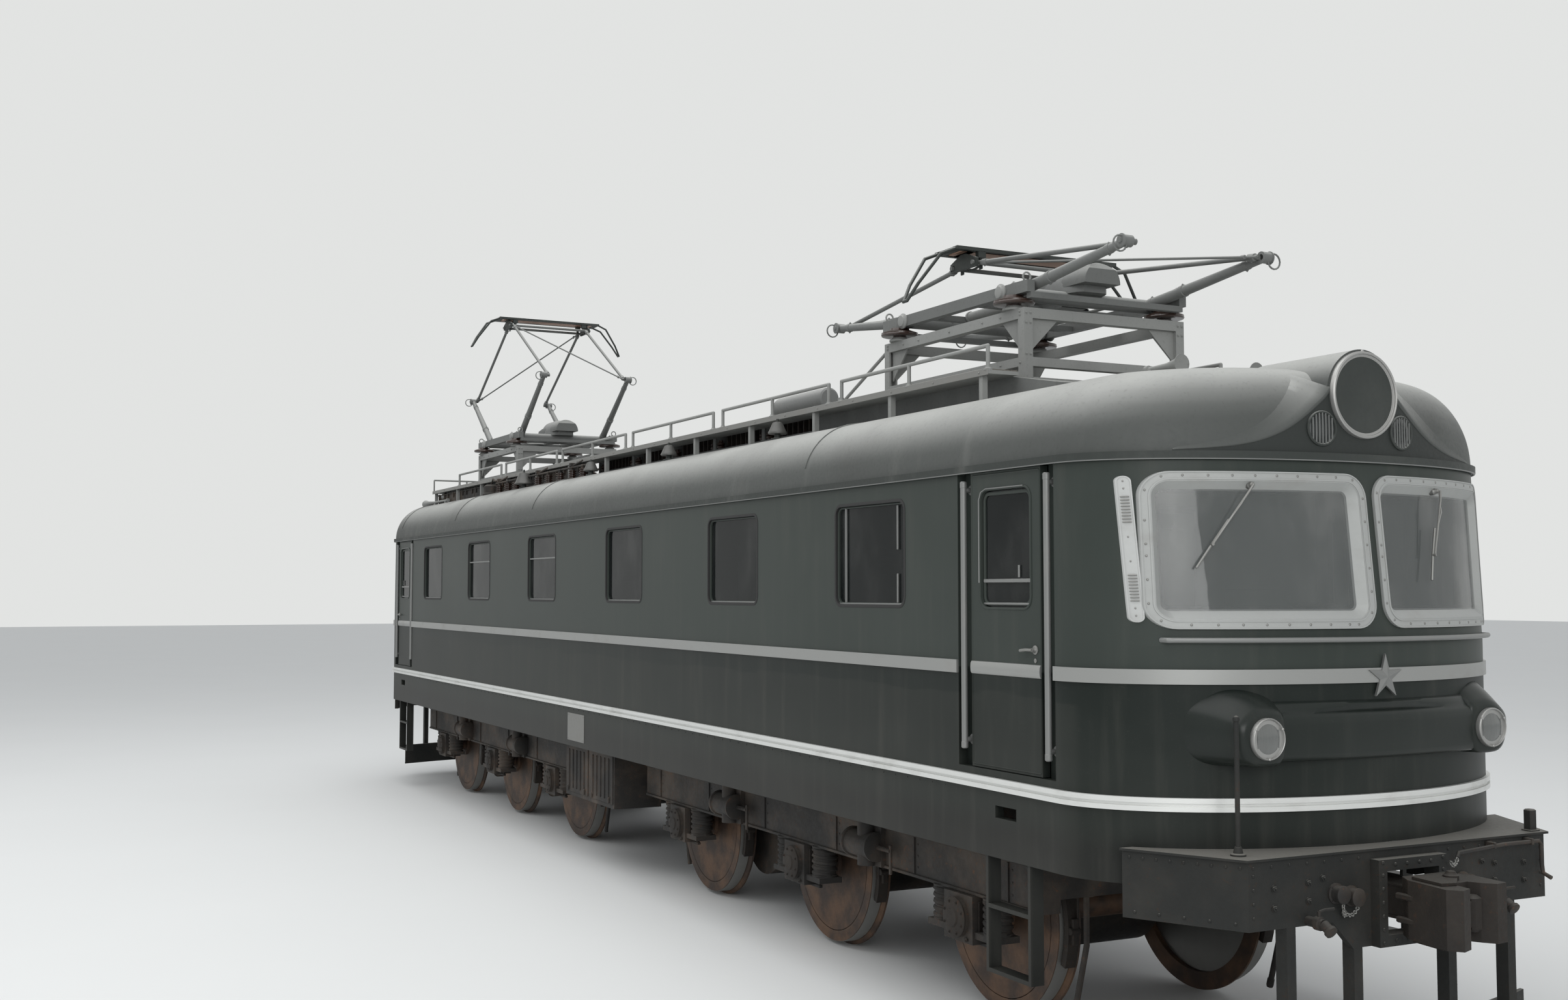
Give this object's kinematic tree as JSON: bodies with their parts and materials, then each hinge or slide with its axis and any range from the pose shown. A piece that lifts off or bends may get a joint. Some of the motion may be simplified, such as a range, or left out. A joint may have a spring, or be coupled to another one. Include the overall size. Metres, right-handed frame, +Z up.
{
  "type": "electric locomotive",
  "caption": "Passenger electric locomotive with rounded cab ends, bright side mouldings, roof pantographs and three-axle bogies on railway wheels.",
  "frame": {"origin": "middle of the locomotive's length and width, at the tips of the wheel flanges, 28 mm under the rail head", "axes": "+X towards the leading end with the lowered pantograph, +Y to its left side, +Z up"},
  "size_m": [18.92, 3.056, 6.3898],
  "materials": {
    "body_paint": "worn gloss paint",
    "roof_paint": "matt grey-green paint, sooty",
    "frame_paint": "dull black paint with brake dust",
    "beam_paint": "dull black paint",
    "cab_paint": "pale interior paint",
    "machine_paint": "plain interior paint",
    "arm_paint": "dark red paint, dusty",
    "bright_metal": "polished, dulled",
    "frame_metal": "satin",
    "rail_steel": "bright handrail",
    "wheel_steel": "rolled steel, bright tread",
    "coupler_steel": "rough cast steel",
    "window_glass": "clear",
    "lamp_glass": "fluted",
    "porcelain": "brown glaze",
    "seat_cover": "worn artificial leather"
  },
  "bodies": {
    "root": {"underframe": "frame_paint", "side_wall_left": "body_paint", "side_wall_right": "body_paint", "cab_shell_front": "body_paint", "cab_shell_rear": "body_paint", "roof_shell": "roof_paint", "roof_gutter": "roof_paint", "windscreen_frames": "frame_metal", "windscreen_glass": "window_glass", "side_glass": "window_glass", "body_mouldings": "bright_metal", "lamp_fairings": "body_paint", "lamps": "lamp_glass", "door_rails": "rail_steel", "cab_bulkheads": "cab_paint", "cab_desks": "cab_paint", "cab_seats": "seat_cover", "machine_block": "machine_paint", "battery_boxes": "frame_paint", "air_reservoirs": "frame_paint", "roof_monitor": "roof_paint", "roof_walkways": "roof_paint", "roof_busbars": "porcelain", "pantograph_stands": "roof_paint", "pantograph_insulators": "porcelain", "pantograph_bases": "arm_paint", "buffer_beam_front": "beam_paint", "buffer_beam_rear": "beam_paint"},
    "bogie_front": {"bogie_frame_front": "frame_paint", "axleboxes_front": "frame_paint"},
    "wheelset_1": {"wheelset_1": "wheel_steel"},
    "wheelset_2": {"wheelset_2": "wheel_steel"},
    "wheelset_3": {"wheelset_3": "wheel_steel"},
    "coupler_front": {"coupler_front": "coupler_steel"},
    "cab_door_front_left": {"cab_door_front_left": "body_paint", "door_glass_front_left": "window_glass"},
    "cab_door_front_right": {"cab_door_front_right": "body_paint", "door_glass_front_right": "window_glass"},
    "bogie_rear": {"bogie_frame_rear": "frame_paint", "axleboxes_rear": "frame_paint"},
    "wheelset_4": {"wheelset_4": "wheel_steel"},
    "wheelset_5": {"wheelset_5": "wheel_steel"},
    "wheelset_6": {"wheelset_6": "wheel_steel"},
    "coupler_rear": {"coupler_rear": "coupler_steel"},
    "cab_door_rear_left": {"cab_door_rear_left": "body_paint", "door_glass_rear_left": "window_glass"},
    "cab_door_rear_right": {"cab_door_rear_right": "body_paint", "door_glass_rear_right": "window_glass"},
    "pantograph_front_lower_arm_fore": {"pantograph_front_lower_arm_fore": "arm_paint"},
    "pantograph_front_lower_arm_aft": {"pantograph_front_lower_arm_aft": "arm_paint"},
    "pantograph_front_upper_arm_fore": {"pantograph_front_upper_arm_fore": "arm_paint"},
    "pantograph_front_upper_arm_aft": {"pantograph_front_upper_arm_aft": "arm_paint"},
    "pantograph_front_head": {"pantograph_front_head": "frame_metal"},
    "pantograph_rear_lower_arm_fore": {"pantograph_rear_lower_arm_fore": "arm_paint"},
    "pantograph_rear_lower_arm_aft": {"pantograph_rear_lower_arm_aft": "arm_paint"},
    "pantograph_rear_upper_arm_fore": {"pantograph_rear_upper_arm_fore": "arm_paint"},
    "pantograph_rear_upper_arm_aft": {"pantograph_rear_upper_arm_aft": "arm_paint"},
    "pantograph_rear_head": {"pantograph_rear_head": "frame_metal"}
  },
  "joints": [
    {"name": "bogie_front_swivel", "type": "hinge", "parent": "root", "child": "bogie_front", "pos_m": [4.1, 0, 1.178], "axis": [0, 0, 1], "range_deg": [-3, 3]},
    {"name": "wheelset_1_spin", "type": "hinge", "parent": "bogie_front", "child": "wheelset_1", "pos_m": [6.4, 0, 0.653], "axis": [0, 1, 0], "continuous": true},
    {"name": "wheelset_2_spin", "type": "hinge", "parent": "bogie_front", "child": "wheelset_2", "pos_m": [4.1, 0, 0.653], "axis": [0, 1, 0], "continuous": true},
    {"name": "wheelset_3_spin", "type": "hinge", "parent": "bogie_front", "child": "wheelset_3", "pos_m": [1.8, 0, 0.653], "axis": [0, 1, 0], "continuous": true},
    {"name": "coupler_front_swing", "type": "hinge", "parent": "root", "child": "coupler_front", "pos_m": [8.45, 0, 1.088], "axis": [0, 0, 1], "range_deg": [-8, 8]},
    {"name": "cab_door_front_left_hinge", "type": "hinge", "parent": "root", "child": "cab_door_front_left", "pos_m": [7.051, 1.426, 2.528], "axis": [0, 0, -1], "range_deg": [0, 90]},
    {"name": "cab_door_front_right_hinge", "type": "hinge", "parent": "root", "child": "cab_door_front_right", "pos_m": [7.051, -1.426, 2.528], "axis": [0, 0, 1], "range_deg": [0, 90]},
    {"name": "bogie_rear_swivel", "type": "hinge", "parent": "root", "child": "bogie_rear", "pos_m": [-4.1, 0, 1.178], "axis": [0, 0, 1], "range_deg": [-3, 3]},
    {"name": "wheelset_4_spin", "type": "hinge", "parent": "bogie_rear", "child": "wheelset_4", "pos_m": [-1.8, 0, 0.653], "axis": [0, 1, 0], "continuous": true},
    {"name": "wheelset_5_spin", "type": "hinge", "parent": "bogie_rear", "child": "wheelset_5", "pos_m": [-4.1, 0, 0.653], "axis": [0, 1, 0], "continuous": true},
    {"name": "wheelset_6_spin", "type": "hinge", "parent": "bogie_rear", "child": "wheelset_6", "pos_m": [-6.4, 0, 0.653], "axis": [0, 1, 0], "continuous": true},
    {"name": "coupler_rear_swing", "type": "hinge", "parent": "root", "child": "coupler_rear", "pos_m": [-8.45, 0, 1.088], "axis": [0, 0, 1], "range_deg": [-8, 8]},
    {"name": "cab_door_rear_left_hinge", "type": "hinge", "parent": "root", "child": "cab_door_rear_left", "pos_m": [-7.051, 1.426, 2.528], "axis": [0, 0, 1], "range_deg": [0, 90]},
    {"name": "cab_door_rear_right_hinge", "type": "hinge", "parent": "root", "child": "cab_door_rear_right", "pos_m": [-7.051, -1.426, 2.528], "axis": [0, 0, -1], "range_deg": [0, 90]},
    {"name": "pantograph_front_raise", "type": "hinge", "parent": "root", "child": "pantograph_front_lower_arm_fore", "pos_m": [6.174, 0, 4.738], "axis": [0, -1, 0], "range_deg": [0, 48.8]},
    {"name": "pantograph_front_aft_raise", "type": "hinge", "parent": "root", "child": "pantograph_front_lower_arm_aft", "pos_m": [4.886, 0, 4.738], "axis": [0, 1, 0], "range_deg": [0, 48.8]},
    {"name": "pantograph_front_knuckle_fore", "type": "hinge", "parent": "pantograph_front_lower_arm_fore", "child": "pantograph_front_upper_arm_fore", "pos_m": [7.36698, 0, 4.8676], "axis": [0, 1, 0], "range_deg": [-0.01, 88.14]},
    {"name": "pantograph_front_knuckle_aft", "type": "hinge", "parent": "pantograph_front_lower_arm_aft", "child": "pantograph_front_upper_arm_aft", "pos_m": [3.69302, 0, 4.8676], "axis": [0, -1, 0], "range_deg": [-0.01, 88.14]},
    {"name": "pantograph_front_head_tilt", "type": "hinge", "parent": "pantograph_front_upper_arm_fore", "child": "pantograph_front_head", "pos_m": [5.666, 0, 5.05249], "axis": [0, -1, 0], "range_deg": [-0.01, 39.34]},
    {"name": "pantograph_rear_raise", "type": "hinge", "parent": "root", "child": "pantograph_rear_lower_arm_fore", "pos_m": [-5.056, 0, 4.738], "axis": [0, -1, 0], "range_deg": [-29.3, 19.5]},
    {"name": "pantograph_rear_aft_raise", "type": "hinge", "parent": "root", "child": "pantograph_rear_lower_arm_aft", "pos_m": [-6.344, 0, 4.738], "axis": [0, 1, 0], "range_deg": [-29.3, 19.5]},
    {"name": "pantograph_rear_knuckle_fore", "type": "hinge", "parent": "pantograph_rear_lower_arm_fore", "child": "pantograph_rear_upper_arm_fore", "pos_m": [-4.07906, 0, 5.43484], "axis": [0, 1, 0], "range_deg": [-53.16, 35.38]},
    {"name": "pantograph_rear_knuckle_aft", "type": "hinge", "parent": "pantograph_rear_lower_arm_aft", "child": "pantograph_rear_upper_arm_aft", "pos_m": [-7.32094, 0, 5.43484], "axis": [0, -1, 0], "range_deg": [-53.16, 35.38]},
    {"name": "pantograph_rear_head_tilt", "type": "hinge", "parent": "pantograph_rear_upper_arm_fore", "child": "pantograph_rear_head", "pos_m": [-5.564, 0, 6.28483], "axis": [0, -1, 0], "range_deg": [-23.86, 15.88]}
  ],
  "couplings": [
    {"joint": "pantograph_front_aft_raise", "follows": "pantograph_front_raise", "ratio": 1},
    {"joint": "pantograph_front_knuckle_fore", "follows": "pantograph_front_raise", "ratio": 1.806},
    {"joint": "pantograph_front_knuckle_aft", "follows": "pantograph_front_raise", "ratio": 1.806},
    {"joint": "pantograph_front_head_tilt", "follows": "pantograph_front_raise", "ratio": 0.806},
    {"joint": "pantograph_rear_aft_raise", "follows": "pantograph_rear_raise", "ratio": 1},
    {"joint": "pantograph_rear_knuckle_fore", "follows": "pantograph_rear_raise", "ratio": 1.814},
    {"joint": "pantograph_rear_knuckle_aft", "follows": "pantograph_rear_raise", "ratio": 1.814},
    {"joint": "pantograph_rear_head_tilt", "follows": "pantograph_rear_raise", "ratio": 0.814}
  ]
}
